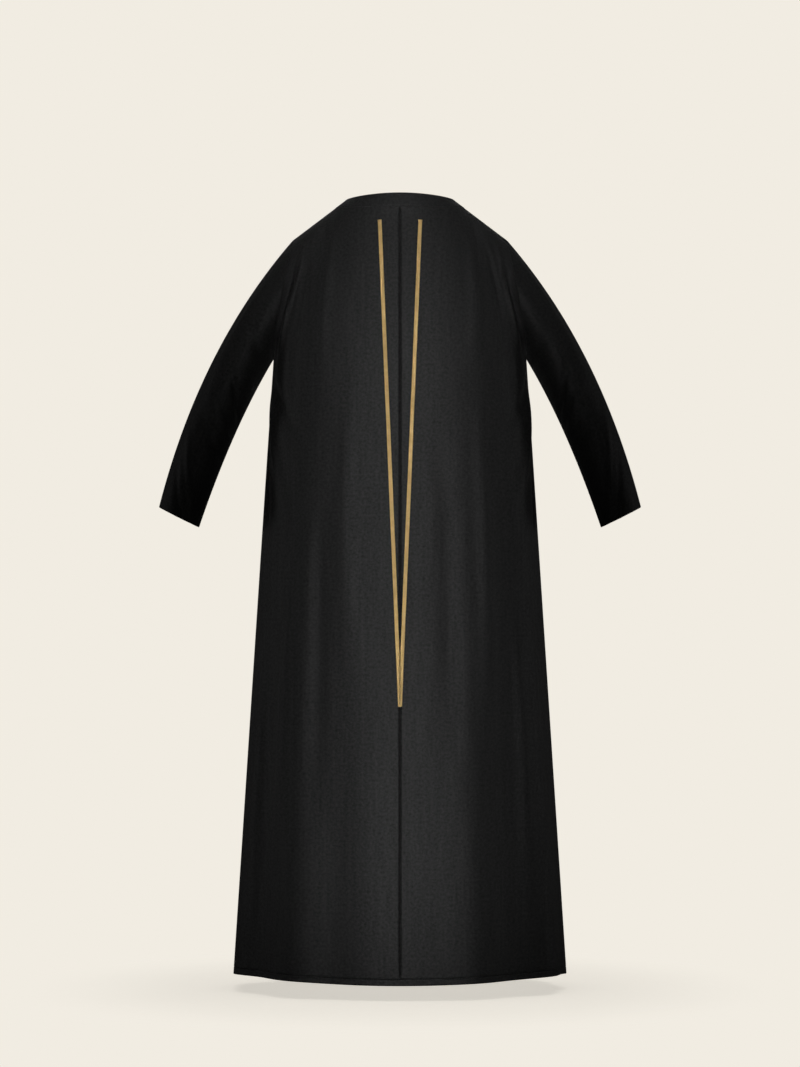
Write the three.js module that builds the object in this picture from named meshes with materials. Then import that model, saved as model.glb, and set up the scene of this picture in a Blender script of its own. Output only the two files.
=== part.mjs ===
// Abaya: a full-length closed robe of black crepe with long fitted sleeves, standing hollow as it is worn.
// Cut in a left and a right front, a back on the fold, two set-in sleeves, a band round the neck and a narrow
// band round the hem. Two lengths of gold braid run down the fronts and meet in a point on the centre seam.
//
// Millimetres, +Z up. The robe faces -Y, and left is the wearer's left, +X. The origin is the middle of the
// neck opening, level with the side neck points, where the wearer's shoulders carry the robe.

import * as THREE from 'three';

const { clamp, lerp, smoothstep } = THREE.MathUtils;
const vec = (x, y, z) => new THREE.Vector3(x, y, z);

// ---------------------------------------------------------------- driving dimensions

const CLOTH = 2;          // thickness of the cloth walls
const SEAM_GAP = 0.3;     // between two pieces at a seam, and between a braid and its front

const SHOULDER = vec(197, 0, -74);        // end of the shoulder seam
const ARMPIT = vec(234, 0, -296);         // where the side and underarm seams meet
const ARMHOLE = { front: 78, back: 74, rise: 45 };  // its reach each way, and its rise from the armpit

// Rings round the body. rise is how far the middle of the front or back lies above the sides.
const NECK_EDGE = { halfWidth: 99, sideZ: 0, front: 84, frontRise: 7, back: 70, backRise: 14 };
const NECK_SEAM = { halfWidth: 119.8, sideZ: -15.6, front: 91.8, frontRise: -2.2, back: 84.3, backRise: 8 };
const CHEST = { halfWidth: ARMPIT.x, z: ARMPIT.z, front: 142, back: 122, squareness: 2.3 };
const HEM = { halfWidth: 308, z: -1430, front: 228, back: 214, squareness: 2.05 };
const HEM_BAND = 12;      // height of the band round the hem
const FLARE = 1.15;       // over 1, the front and back hang straight first and flare lower down

const COLUMN_HANDLE = 95; // how firmly the columns of cloth leave the neck and arrive at the chest

// The sleeve's upper and lower edges, each an arc drawn towards its bend, and its half depths.
const SLEEVE = {
  upper: { from: SHOULDER, bend: vec(370, 0, -272), to: vec(444, 0, -568) },
  lower: { from: ARMPIT, bend: vec(308, 0, -419), to: vec(370, 0, -605) },
  cuffHalfDepth: 44,
  forward: 30,            // how far the cuff hangs in front of the shoulder
};

const BRAID = {
  width: 7.4,
  thickness: 1.5,
  topZ: -44,
  topOffset: 37,          // from the centre seam to the middle of the braid, at its upper end
  pointZ: -930,           // where the two braids meet
};

// ---------------------------------------------------------------- how finely the cloth is divided

const YOKE_ROWS = 8;
const SKIRT_ROWS = 12;
const SLEEVE_ROWS = 12;
const NECK_BAND_ROWS = 2;
const NECK_COLUMNS = 6;       // from the centre to the side neck point
const SHOULDER_COLUMNS = 6;   // from there to the shoulder
const COLUMNS = NECK_COLUMNS + SHOULDER_COLUMNS;
const CENTRE_STRIP = 46;      // width of the flat first column, which carries the braid
const SHARPEST_MITRE = 0.5;   // the cosine past which a mitre gets no longer

// Soft folds of the skirt. at and width are shares of the way from the middle of a face to its side seam, and
// a minus lies on the wearer's right. rise is the fold's height at the hem, where a minus makes a hollow, and
// from is the height at which it starts. Each ends short of the side seams.
const FOLDS = {
  front: [
    { at: -0.82, width: 0.16, rise: 5, from: -560 },
    { at: -0.64, width: 0.20, rise: -9, from: -350 },
    { at: -0.44, width: 0.22, rise: 10, from: -310 },
    { at: -0.26, width: 0.18, rise: -6, from: -400 },
    { at: 0.28, width: 0.18, rise: 7, from: -420 },
    { at: 0.47, width: 0.22, rise: -9, from: -330 },
    { at: 0.67, width: 0.22, rise: 11, from: -300 },
    { at: 0.84, width: 0.16, rise: -6, from: -460 },
  ],
  back: [
    { at: -0.80, width: 0.18, rise: 8, from: -360 },
    { at: -0.58, width: 0.24, rise: -12, from: -330 },
    { at: -0.34, width: 0.24, rise: 13, from: -300 },
    { at: -0.11, width: 0.20, rise: -9, from: -400 },
    { at: 0.13, width: 0.22, rise: 11, from: -330 },
    { at: 0.36, width: 0.24, rise: -12, from: -300 },
    { at: 0.60, width: 0.24, rise: 12, from: -310 },
    { at: 0.82, width: 0.16, rise: -7, from: -420 },
  ],
};

// ---------------------------------------------------------------- the body's form

const LEFT = 1;
const RIGHT = -1;
const FRONT = -1;
const BACK = 1;

const faceName = (face) => (face === FRONT ? 'front' : 'back');
const sideName = (side) => (side === LEFT ? 'left' : 'right');

// A point on one quarter of a ring round the neck, at an angle from the side to the middle of that face.
function neckRingPoint(ring, angle, side, face) {
  const reach = ring[faceName(face)];
  const rise = ring[faceName(face) + 'Rise'];
  return vec(
    side * ring.halfWidth * Math.cos(angle),
    face * reach * Math.sin(angle),
    ring.sideZ + rise * Math.sin(angle) ** 2,
  );
}

// The way that quarter of a ring runs at an angle, from the side towards the middle.
function neckRingRun(ring, angle, side, face) {
  const rise = ring[faceName(face) + 'Rise'];
  return vec(
    -side * ring.halfWidth * Math.sin(angle),
    face * ring[faceName(face)] * Math.cos(angle),
    rise * Math.sin(2 * angle),
  ).normalize();
}

// The skirt's level section at a height: straight at the sides, easing outwards in front and behind.
function sectionAt(z) {
  const down = (CHEST.z - z) / (CHEST.z - HEM.z);
  const eased = Math.max(down, 0) ** FLARE;
  return {
    halfWidth: lerp(CHEST.halfWidth, HEM.halfWidth, down),
    front: lerp(CHEST.front, HEM.front, eased),
    back: lerp(CHEST.back, HEM.back, eased),
    squareness: lerp(CHEST.squareness, HEM.squareness, down),
  };
}

// Columns 0 to COLUMNS run from the middle of a face to its side. The first lies one centre strip out, and
// the rest share the remaining angle evenly.
function columnAngle(column, lastColumn, halfWidth, squareness) {
  if (column === 0) return Math.PI / 2;
  const first = Math.acos((CENTRE_STRIP / halfWidth) ** (squareness / 2));
  return (first * (lastColumn - column)) / (lastColumn - 1);
}

// How far the folds lift the cloth at a place on the skirt.
function foldLift(folds, share, z) {
  let lift = 0;
  for (const { at, width, rise, from } of folds) {
    const across = Math.max(1 - Math.abs(share - at) / width, 0);
    const grown = smoothstep(from - z, 0, from - HEM.z);
    lift += rise * grown * smoothstep(across, 0, 1);
  }
  return lift;
}

function skirtPoint(column, z, side, face) {
  const section = sectionAt(z);
  const reach = section[faceName(face)];
  const angle = columnAngle(column, COLUMNS, section.halfWidth, section.squareness);
  const power = 2 / section.squareness;
  const point = vec(
    side * section.halfWidth * Math.cos(angle) ** power,
    face * reach * Math.sin(angle) ** power,
    z,
  );
  const outward = vec(point.x / section.halfWidth ** 2, point.y / reach ** 2, 0).normalize();
  return point.addScaledVector(outward, foldLift(FOLDS[faceName(face)], (side * column) / COLUMNS, z));
}

// Where a column starts: on the seam under the neck band, or on the shoulder seam.
function columnTop(column, side, face) {
  if (column <= NECK_COLUMNS) {
    const angle = columnAngle(column, NECK_COLUMNS, NECK_SEAM.halfWidth, 2);
    return neckRingPoint(NECK_SEAM, angle, side, face);
  }
  const neckPoint = vec(NECK_SEAM.halfWidth, 0, NECK_SEAM.sideZ);
  const point = neckPoint.lerp(SHOULDER, (column - NECK_COLUMNS) / SHOULDER_COLUMNS);
  return point.setX(side * point.x);
}

// How a column leaves its top: down the neck band's slope at the centre, and turning round the neck until it
// runs level over the shoulder, so that front and back meet in a rounded shoulder.
function leavingTop(column, side, face) {
  const angle = columnAngle(Math.min(column, NECK_COLUMNS), NECK_COLUMNS, NECK_SEAM.halfWidth, 2);
  const onSeam = neckRingPoint(NECK_SEAM, angle, side, face);
  const downBand = onSeam.clone().sub(neckRingPoint(NECK_EDGE, angle, side, face)).normalize();
  const roundNeck = neckRingRun(NECK_SEAM, angle, side, face);
  const turned = smoothstep(column / COLUMNS, 0, 0.75);
  return downBand
    .multiplyScalar(COLUMN_HANDLE * (1 - turned))
    .addScaledVector(roundNeck, armholeHandle(face) * turned);
}

// How a column arrives at the chest: from straight above, or round under the arm beside the armhole.
function arrivingAtChest(column, chest, side, face) {
  const upwards = chest.clone().sub(skirtPoint(column, CHEST.z - 10, side, face)).normalize();
  const turned = clamp(lerp(-3, 1, column / COLUMNS), 0, 1);
  return upwards
    .multiplyScalar(COLUMN_HANDLE * (1 - turned))
    .addScaledVector(vec(0, face * armholeHandle(face), ARMHOLE.rise), turned);
}

// A cubic curve bulges by three quarters of the handles at its two ends.
const armholeHandle = (face) => (4 / 3) * ARMHOLE[faceName(face)];

// One column of the yoke, from its top to the chest. The last column is one half of the armhole.
function yokeColumn(column, side, face) {
  const top = columnTop(column, side, face);
  const chest = skirtPoint(column, CHEST.z, side, face);
  const leaving = leavingTop(column, side, face).add(top);
  const arriving = arrivingAtChest(column, chest, side, face).add(chest);
  return new THREE.CubicBezierCurve3(top, leaving, arriving, chest);
}

// ---------------------------------------------------------------- the pieces as sheets of points
// A sheet is a list of rows from top to bottom. Each row runs round the body the same way, from the wearer's
// right over the front to the left and on over the back, so that every sheet faces outwards.

const bottomZ = HEM.z + HEM_BAND;

function bodyRow(row, column, side, face) {
  if (row <= YOKE_ROWS) return yokeColumn(column, side, face).getPoint(row / YOKE_ROWS);
  return skirtPoint(column, lerp(CHEST.z, bottomZ, (row - YOKE_ROWS) / SKIRT_ROWS), side, face);
}

const upTo = (last) => Array.from({ length: last + 1 }, (_, i) => i);
const downFrom = (last) => upTo(last).reverse();
const columnsOf = {
  front_right: downFrom(COLUMNS).map((column) => [column, RIGHT, FRONT]),
  front_left: upTo(COLUMNS).map((column) => [column, LEFT, FRONT]),
  back: [
    ...downFrom(COLUMNS).map((column) => [column, LEFT, BACK]),
    ...upTo(COLUMNS).slice(1).map((column) => [column, RIGHT, BACK]),
  ],
};

const bodySheet = (name) => ({
  rows: upTo(YOKE_ROWS + SKIRT_ROWS).map((row) => columnsOf[name].map((column) => bodyRow(row, ...column))),
});

// A full ring of columns. Its ends at the sides belong to the front and to the back, and are kept once.
function allRound(lastColumn) {
  const ring = [...columnsOf.front_right, ...columnsOf.front_left.slice(1), ...columnsOf.back];
  return ring.filter(([column, , face]) => column < lastColumn || (column === lastColumn && face === FRONT));
}

function neckBandSheet() {
  const rowAt = (down) =>
    allRound(NECK_COLUMNS).map(([column, side, face]) => {
      const angle = columnAngle(column, NECK_COLUMNS, NECK_SEAM.halfWidth, 2);
      const edge = neckRingPoint(NECK_EDGE, angle, side, face);
      return edge.lerp(neckRingPoint(NECK_SEAM, angle, side, face), down);
    });
  return { rows: upTo(NECK_BAND_ROWS).map((row) => rowAt(row / NECK_BAND_ROWS)), closed: true };
}

function hemBandSheet() {
  const rowAt = (z) => allRound(COLUMNS).map(([column, side, face]) => skirtPoint(column, z, side, face));
  return { rows: [bottomZ, HEM.z].map(rowAt), closed: true };
}

// A sleeve's rings run from the armhole to the cuff. Each is two half ovals between the upper and lower edge.
function sleeveSheet(side) {
  const edge = ({ from, bend, to }) => new THREE.QuadraticBezierCurve3(from, bend, to);
  const upper = edge(SLEEVE.upper);
  const lower = edge(SLEEVE.lower);
  const halfRing = (along, face) => {
    const reach = (4 / 3) * face * lerp(ARMHOLE[faceName(face)], SLEEVE.cuffHalfDepth, along);
    const rise = ARMHOLE.rise * (1 - along);
    const [top, bottom] = [upper.getPoint(along), lower.getPoint(along)];
    const [over, under] = [vec(0, reach, 0).add(top), vec(0, reach, rise).add(bottom)];
    return new THREE.CubicBezierCurve3(top, over, under, bottom);
  };
  const ringAt = (along) => {
    const front = upTo(YOKE_ROWS).map((row) => halfRing(along, FRONT).getPoint(row / YOKE_ROWS));
    const back = upTo(YOKE_ROWS).map((row) => halfRing(along, BACK).getPoint(row / YOKE_ROWS));
    const ring = [...front, ...back.reverse().slice(1, -1)];
    ring.forEach((point) => point.set(side * point.x, point.y - SLEEVE.forward * along ** 2, point.z));
    return side === RIGHT ? ring : [ring[0], ...ring.slice(1).reverse()];
  };
  return { rows: upTo(SLEEVE_ROWS).map((row) => ringAt(row / SLEEVE_ROWS)), closed: true };
}

// Sheets of one form run smoothly into each other.
const sheets = {
  neck_band: { form: 'body', ...neckBandSheet() },
  front_right: { form: 'body', ...bodySheet('front_right') },
  front_left: { form: 'body', ...bodySheet('front_left') },
  back: { form: 'body', ...bodySheet('back') },
  sleeve_right: { form: 'right arm', ...sleeveSheet(RIGHT) },
  sleeve_left: { form: 'left arm', ...sleeveSheet(LEFT) },
  hem_band: { form: 'body', ...hemBandSheet() },
};

// ---------------------------------------------------------------- from sheets to walls of cloth

const placeOf = (point) => point.toArray().map((value) => Math.round(value * 100)).join();

// The outward normals of one form at each of its points.
function normalsOfForm(form) {
  const found = new Map();
  for (const { rows, closed } of Object.values(sheets).filter((sheet) => sheet.form === form)) {
    const width = rows[0].length;
    for (let row = 0; row + 1 < rows.length; row++) {
      for (let column = 0; column < (closed ? width : width - 1); column++) {
        const next = (column + 1) % width;
        const corners = [rows[row][column], rows[row][next], rows[row + 1][next], rows[row + 1][column]];
        const across = corners[2].clone().sub(corners[0]);
        const facing = corners[3].clone().sub(corners[1]).cross(across);
        for (const corner of corners) {
          const place = placeOf(corner);
          found.set(place, (found.get(place) ?? vec(0, 0, 0)).add(facing));
        }
      }
    }
  }
  found.forEach((normal) => normal.normalize());
  return found;
}

const forms = new Map(Object.values(sheets).map(({ form }) => [form, normalsOfForm(form)]));

// Where two forms meet, as at an armhole, their walls are mitred: both use the normal midway between theirs.
const sharedNormals = new Map();
for (const found of forms.values()) {
  found.forEach((normal, place) => {
    sharedNormals.set(place, (sharedNormals.get(place) ?? vec(0, 0, 0)).add(normal));
  });
}
sharedNormals.forEach((normal) => normal.normalize());

const normalAt = (point) => sharedNormals.get(placeOf(point));

// From a point on the cloth's outer face to the inner face, longer where the wall is mitred.
function throughCloth(point, form) {
  const normal = normalAt(point);
  const mitre = normal.dot(forms.get(form).get(placeOf(point)));
  return normal.clone().multiplyScalar(-CLOTH / Math.max(mitre, SHARPEST_MITRE));
}

// The edges of a sheet as runs of row and column, each with the cloth on its right when seen from outside.
function edgesOf({ rows, closed }) {
  const [last, end] = [rows.length - 1, rows[0].length - 1];
  const top = upTo(end).map((column) => [0, column]);
  const bottom = downFrom(end).map((column) => [last, column]);
  if (closed) return [top, bottom];
  const right = upTo(last).slice(1, -1).map((row) => [row, end]);
  const left = downFrom(last).slice(1, -1).map((row) => [row, 0]);
  return [[...top, ...right, ...bottom, ...left]];
}

// A copy of a sheet with its edges drawn in by half a seam gap, square to the edge and along the cloth.
function drawnIn(sheet) {
  const moved = sheet.rows.map((row) => row.map((point) => point.clone()));
  const at = ([row, column]) => sheet.rows[row][column];
  for (const edge of edgesOf(sheet)) {
    edge.forEach((place, i) => {
      const [before, point, after] = [at(edge.at(i - 1)), at(place), at(edge[(i + 1) % edge.length])];
      const inFrom = (start, end) => end.clone().sub(start).cross(normalAt(point)).normalize();
      const inwards = inFrom(before, point).add(inFrom(point, after));
      moved[place[0]][place[1]].addScaledVector(inwards, SEAM_GAP / inwards.lengthSq());
    });
  }
  return moved;
}

// Puts the points of a seam in one order, even where it runs level.
const heightOf = (point) => point.dot(vec(0.1, 0.3, 1));

// Joins an outer and an inner grid of points into one closed wall.
function wallBetween(outer, inner, closed) {
  const [last, end] = [outer.length - 1, outer[0].length - 1];
  const points = [...outer.flat(), ...inner.flat()];
  const toInner = points.length / 2;
  const index = [];
  const out = (row, column) => row * (end + 1) + (column % (end + 1));
  // The cloth's two faces. Quads are split from the lower corner nearer the middle, alike on both sides.
  const faces = (a, b, c, d) => {
    const rightSide = Math.abs(points[c].x) < Math.abs(points[b].x);
    const halves = rightSide ? [[a, b, c], [a, c, d]] : [[b, c, d], [b, d, a]];
    for (const [p, q, r] of halves) index.push(p, q, r, p + toInner, r + toInner, q + toInner);
  };
  // An end face. The two pieces of a seam both split theirs from the higher outer corner.
  const endFace = (a, b) => {
    const [insideA, insideB] = [a + toInner, b + toInner];
    if (heightOf(points[a]) > heightOf(points[b])) index.push(a, b, insideB, a, insideB, insideA);
    else index.push(b, insideB, insideA, b, insideA, a);
  };
  for (let column = 0; column < (closed ? end + 1 : end); column++) {
    const next = column + 1;
    for (let row = 0; row < last; row++) {
      faces(out(row, column), out(row + 1, column), out(row + 1, next), out(row, next));
    }
    endFace(out(0, column), out(0, next));
    endFace(out(last, next), out(last, column));
  }
  for (let row = 0; !closed && row < last; row++) {
    endFace(out(row + 1, 0), out(row, 0));
    endFace(out(row, end), out(row + 1, end));
  }
  const geometry = new THREE.BufferGeometry().setFromPoints(points);
  geometry.setIndex(index);
  geometry.computeVertexNormals();
  return geometry;
}

function clothGeometry(sheet) {
  const outer = drawnIn(sheet);
  const inner = outer.map((row, r) =>
    row.map((point, c) => throughCloth(sheet.rows[r][c], sheet.form).add(point)),
  );
  return wallBetween(outer, inner, sheet.closed);
}

// ---------------------------------------------------------------- the braids

// A point of a front's flat centre strip and its normal, at a height and a distance from the centre seam.
function onCentreStrip(side, x, z) {
  const { rows } = sheets[`front_${sideName(side)}`];
  const [centre, outside] = side === LEFT ? [0, 1] : [COLUMNS, COLUMNS - 1];
  const downColumn = (column) => {
    const below = Math.max(rows.findIndex((row) => row[column].z <= z), 1);
    const [upper, lower] = [rows[below - 1][column], rows[below][column]];
    const down = (upper.z - z) / (upper.z - lower.z);
    const normal = normalAt(upper).clone().lerp(normalAt(lower), down);
    return { point: upper.clone().lerp(lower, down), normal };
  };
  const [near, far] = [downColumn(centre), downColumn(outside)];
  const across = x / Math.abs(far.point.x);
  return {
    point: near.point.lerp(far.point, across),
    normal: near.normal.lerp(far.normal, across).normalize(),
  };
}

// A flat braid laid on the centre strip. It tapers where its inner edge reaches the centre seam.
function braidGeometry(side) {
  const offsetAt = (z) => (BRAID.topOffset * (z - BRAID.pointZ)) / (BRAID.topZ - BRAID.pointZ);
  const mitreZ = lerp(BRAID.pointZ, BRAID.topZ, BRAID.width / 2 / BRAID.topOffset);
  const rowHeights = sheets.front_left.rows.map((row) => row[0].z);
  const between = rowHeights.filter((z) => z < BRAID.topZ && z > BRAID.pointZ);
  const heights = [BRAID.topZ, ...between, mitreZ, BRAID.pointZ].sort((a, b) => b - a);
  const [outer, inner] = [[], []];
  for (const z of heights) {
    const innerX = Math.max(offsetAt(z) - BRAID.width / 2, SEAM_GAP / 2);
    const outerX = offsetAt(z) + BRAID.width / 2;
    const across = side === LEFT ? [innerX, outerX] : [outerX, innerX];
    const places = across.map((x) => onCentreStrip(side, x, z));
    const lifted = (by) => places.map(({ point, normal }) => point.clone().addScaledVector(normal, by));
    inner.push(lifted(SEAM_GAP));
    outer.push(lifted(SEAM_GAP + BRAID.thickness));
  }
  return wallBetween(outer, inner, false);
}

// ---------------------------------------------------------------- the finished robe

const crepe = new THREE.MeshStandardMaterial({ color: '#1b1b1b', roughness: 0.85, metalness: 0 });
const gold = new THREE.MeshStandardMaterial({ color: '#a88c58', roughness: 0.45, metalness: 0.6 });

const abaya = new THREE.Group();

function addPiece(name, geometry, material) {
  const mesh = new THREE.Mesh(geometry, material);
  mesh.name = name;
  abaya.add(mesh);
}

for (const [name, sheet] of Object.entries(sheets)) addPiece(name, clothGeometry(sheet), crepe);
for (const side of [RIGHT, LEFT]) addPiece(`braid_${sideName(side)}`, braidGeometry(side), gold);

export default abaya;
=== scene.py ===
"""Abaya: a full-length closed robe of black crepe, standing hollow as it is worn, with gold braid in front.

Every cut piece is a thin sheet of cloth on the form of its solid, with soft folds and creases placed one by
one, edges rolled in at the seams and hems turned in. Millimetres in the sizes, metres in the scene. The robe
faces
-Y, +Z is up, and left is the wearer's left, +X. The origin is the middle of the neck opening.
"""

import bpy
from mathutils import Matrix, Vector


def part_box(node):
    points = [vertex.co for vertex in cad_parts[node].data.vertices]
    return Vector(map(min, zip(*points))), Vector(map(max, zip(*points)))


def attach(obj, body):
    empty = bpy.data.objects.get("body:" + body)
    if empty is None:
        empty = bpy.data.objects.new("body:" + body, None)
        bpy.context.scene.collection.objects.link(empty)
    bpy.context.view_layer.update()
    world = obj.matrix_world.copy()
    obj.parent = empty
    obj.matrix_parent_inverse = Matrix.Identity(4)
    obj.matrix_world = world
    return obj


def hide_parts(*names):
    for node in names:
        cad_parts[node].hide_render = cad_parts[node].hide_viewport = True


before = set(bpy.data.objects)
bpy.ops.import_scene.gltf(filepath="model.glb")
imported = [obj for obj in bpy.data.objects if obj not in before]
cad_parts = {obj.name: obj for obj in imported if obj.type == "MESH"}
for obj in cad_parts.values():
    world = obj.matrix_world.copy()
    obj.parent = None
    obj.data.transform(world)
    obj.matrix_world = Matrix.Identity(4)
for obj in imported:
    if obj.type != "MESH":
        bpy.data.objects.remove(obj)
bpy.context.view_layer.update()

import math
from collections import namedtuple
from functools import partial

import bpy
import numpy as np
from mathutils import Vector
from mathutils.bvhtree import BVHTree
from mathutils.kdtree import KDTree

MM = 0.001
RIGHT, LEFT = -1, 1
FRONT, BACK = -1, 1
SIDE_NAMES = {RIGHT: "right", LEFT: "left"}

# ---- driving sizes, in millimetres

SHOULDER = np.array([197.0, 0.0, -74.0])  # end of the shoulder seam
ARMPIT = np.array([234.0, 0.0, -296.0])  # where the side and underarm seams meet
ARMHOLE_REACH = {FRONT: 78, BACK: 74}
ARMHOLE_RISE = 45

# Rings round the neck. The rise is how far the middle of the front or back lies above the sides.
Ring = namedtuple("Ring", "half_width side_z reach rise")
NECK_EDGE = Ring(99, 0, {FRONT: 84, BACK: 70}, {FRONT: 7, BACK: 14})
NECK_SEAM = Ring(119.8, -15.6, {FRONT: 91.8, BACK: 84.3}, {FRONT: -2.2, BACK: 8})

Level = namedtuple("Level", "half_width z reach squareness")
CHEST = Level(ARMPIT[0], ARMPIT[2], {FRONT: 142, BACK: 122}, 2.3)
HEM = Level(308, -1430, {FRONT: 228, BACK: 214}, 2.05)
HEM_BAND = 12
HEM_RISE = 22  # the hem lifts by up to a quarter of this between the side seams and the middles
FLARE = 1.15  # over 1, the front and back hang straight first and flare lower down
COLUMN_HANDLE = 95  # how firmly the cloth leaves the neck and arrives at the chest
BULGE_HANDLE = 4 / 3  # how far a curve's handles reach beyond its bulge
TO_ARM = 0.75  # share of the way out by which the yoke follows the arm, and no longer the neck
STEP_DOWN = 10  # a step down the skirt, which gives the way the cloth runs at the chest
CENTRE_STRIP = 46  # width of the nearly flat strip beside the centre seam
NECK_COLUMNS = 6  # the part's columns, from the centre to the side neck point
COLUMNS = 12  # and from the centre to the side seam

# The sleeve's upper and lower edges are arcs, drawn from one end to the other towards their bend.
Arc = namedtuple("Arc", "start bend end")
UPPER_EDGE = Arc(SHOULDER, np.array([370.0, 0.0, -272.0]), np.array([444.0, 0.0, -568.0]))
LOWER_EDGE = Arc(ARMPIT, np.array([308.0, 0.0, -419.0]), np.array([370.0, 0.0, -605.0]))
CUFF_HALF_DEPTH = 44
SLEEVE_FORWARD = 30  # how far the cuff hangs in front of the shoulder

# Seams: the half width of the groove that the seam draws in, its depth, the allowance turned in behind, and
# the length over which the groove dies out at both ends.
Seam = namedtuple("Seam", "half_width depth allowance taper")
CENTRE_SEAM = Seam(3.2, 4.2, 5, 16)
PANEL_SEAM = Seam(2.0, 1.0, 4, 12)
BAND_SEAM = Seam(1.5, 0.8, 1, 0)
WIDEST_ROLL = 0.85  # of the first line of faces, so that a seam's roll never folds over the next line
CUFF_HEM = 20  # how deep the cuff's hem is turned in
NECK_BAND_TURN = 22  # how deep each band is turned in behind itself
HEM_BAND_TURN = 10
BAND_FOLD = 1.6  # between the two layers of a band or hem

BRAID_WIDTH = 7.4
BRAID_TOP = -44  # heights of the braid's upper end and of the point of the V
BRAID_POINT = -930
BRAID_OFFSET = 37  # from the centre seam to the middle of the braid, at its upper end
BRAID_CLEARANCE = 0.3  # between the braid and the cloth, and the centre seam
BRAID_STEPS = 225
STRAND_HALF = 0.25  # half a strand's thickness
STEPS_IN_PITCH = 16.0  # straight steps in one wave of a strand
TACK_LENGTH = 3.2  # the bar tack that finishes a braid's end, and its height over the cloth
TACK_HEIGHT = 1.35
TACK_POINTS = 5
WELL_IN_FRONT = -1000  # a forward distance clear of the whole robe
TACK_SIZES = {"Stitch Length": 8.4 * MM, "Step": 0.5 * MM, "Thread Radius": 0.34 * MM}
EDGE_STITCHING = 2  # from an edge to the run of stitches beside it
STITCH_LIFT = 0.05

# Sizes in the cloth and thread. The crepe's yarns are about 0.35 mm apart, and its pebbles are 0.8 mm: both
# are drawn coarser, so that they show at the distance from which a whole robe is seen.
YARN = 2.4
PEBBLE = 5.0
CREPE_RELIEF = 0.8
SLUB = 8
SLUB_LENGTH = 120
SLUB_SHARE = 0.3  # how much of the cloth's mottle is streaks down the warp, and not pebbles
WEAVE_SHARE = 0.4  # how high the yarns stand beside the pebbles
FOIL_TWIST = 0.8
FOIL_PLIES = 3
FOIL_RELIEF = 0.15
WEAR_PATCHES = 90.0  # in a metre of braid
FIBRE_TUFTS = 1500.0  # in a metre of thread
WAVE_SCALE = math.pi / 10  # makes a wave texture one band to the unit

CLOTH = 0.9  # the thin shell's wall
SAME_PLACE = 0.01  # points nearer than this are one point of a seam

# How finely the sheets are divided.
LINES_PER_COLUMN = 6
YOKE_LINES = 48
SKIRT_LINES = 160
SLEEVE_LINES = 150
SLEEVE_HALF_LINES = YOKE_LINES  # the sleeve's seam meets the armhole's line by line
NECK_BAND_LINES = 6
HEM_BAND_LINES = 4
BAND_ROW = YOKE_LINES + SKIRT_LINES  # the row of the body at which the hem band begins
HEM_LINES = 6
HEM_FOLD_LINES = 5
ROLL_LINES = (0, 0.15, 0.35, 0.6, 1)  # shares of a seam's half width
SHARP_ANGLE = math.radians(55)
SETTLING = 60  # rounds of easing that take the stiffness out of the yoke
SETTLED_LINES = YOKE_LINES + 12  # the easing reaches this far down, and weakens from a share of it on
SETTLED_SHARE = 0.7

# ---- folds and creases, listed one by one
# Flutes of the skirt: at, width, rise and start. The first two are shares of the way from the middle of a
# face to its side seam, and a minus lies on the wearer's right. The rise is the height at the hem, where a
# minus makes a hollow, and the start is the height at which the flute begins.
FLUTES = {FRONT: [
    (-0.82, 0.16, 5, -560), (-0.64, 0.20, -9, -350), (-0.44, 0.22, 10, -310), (-0.26, 0.18, -6, -400),
    (0.28, 0.18, 7, -420), (0.47, 0.22, -9, -330), (0.67, 0.22, 11, -300), (0.82, 0.14, -4, -460),
], BACK: [
    (-0.80, 0.18, 8, -360), (-0.58, 0.24, -12, -330), (-0.34, 0.24, 13, -300), (-0.11, 0.20, -9, -400),
    (0.13, 0.22, 11, -330), (0.36, 0.24, -12, -300), (0.60, 0.24, 12, -310), (0.82, 0.16, -7, -420),
]}

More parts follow.
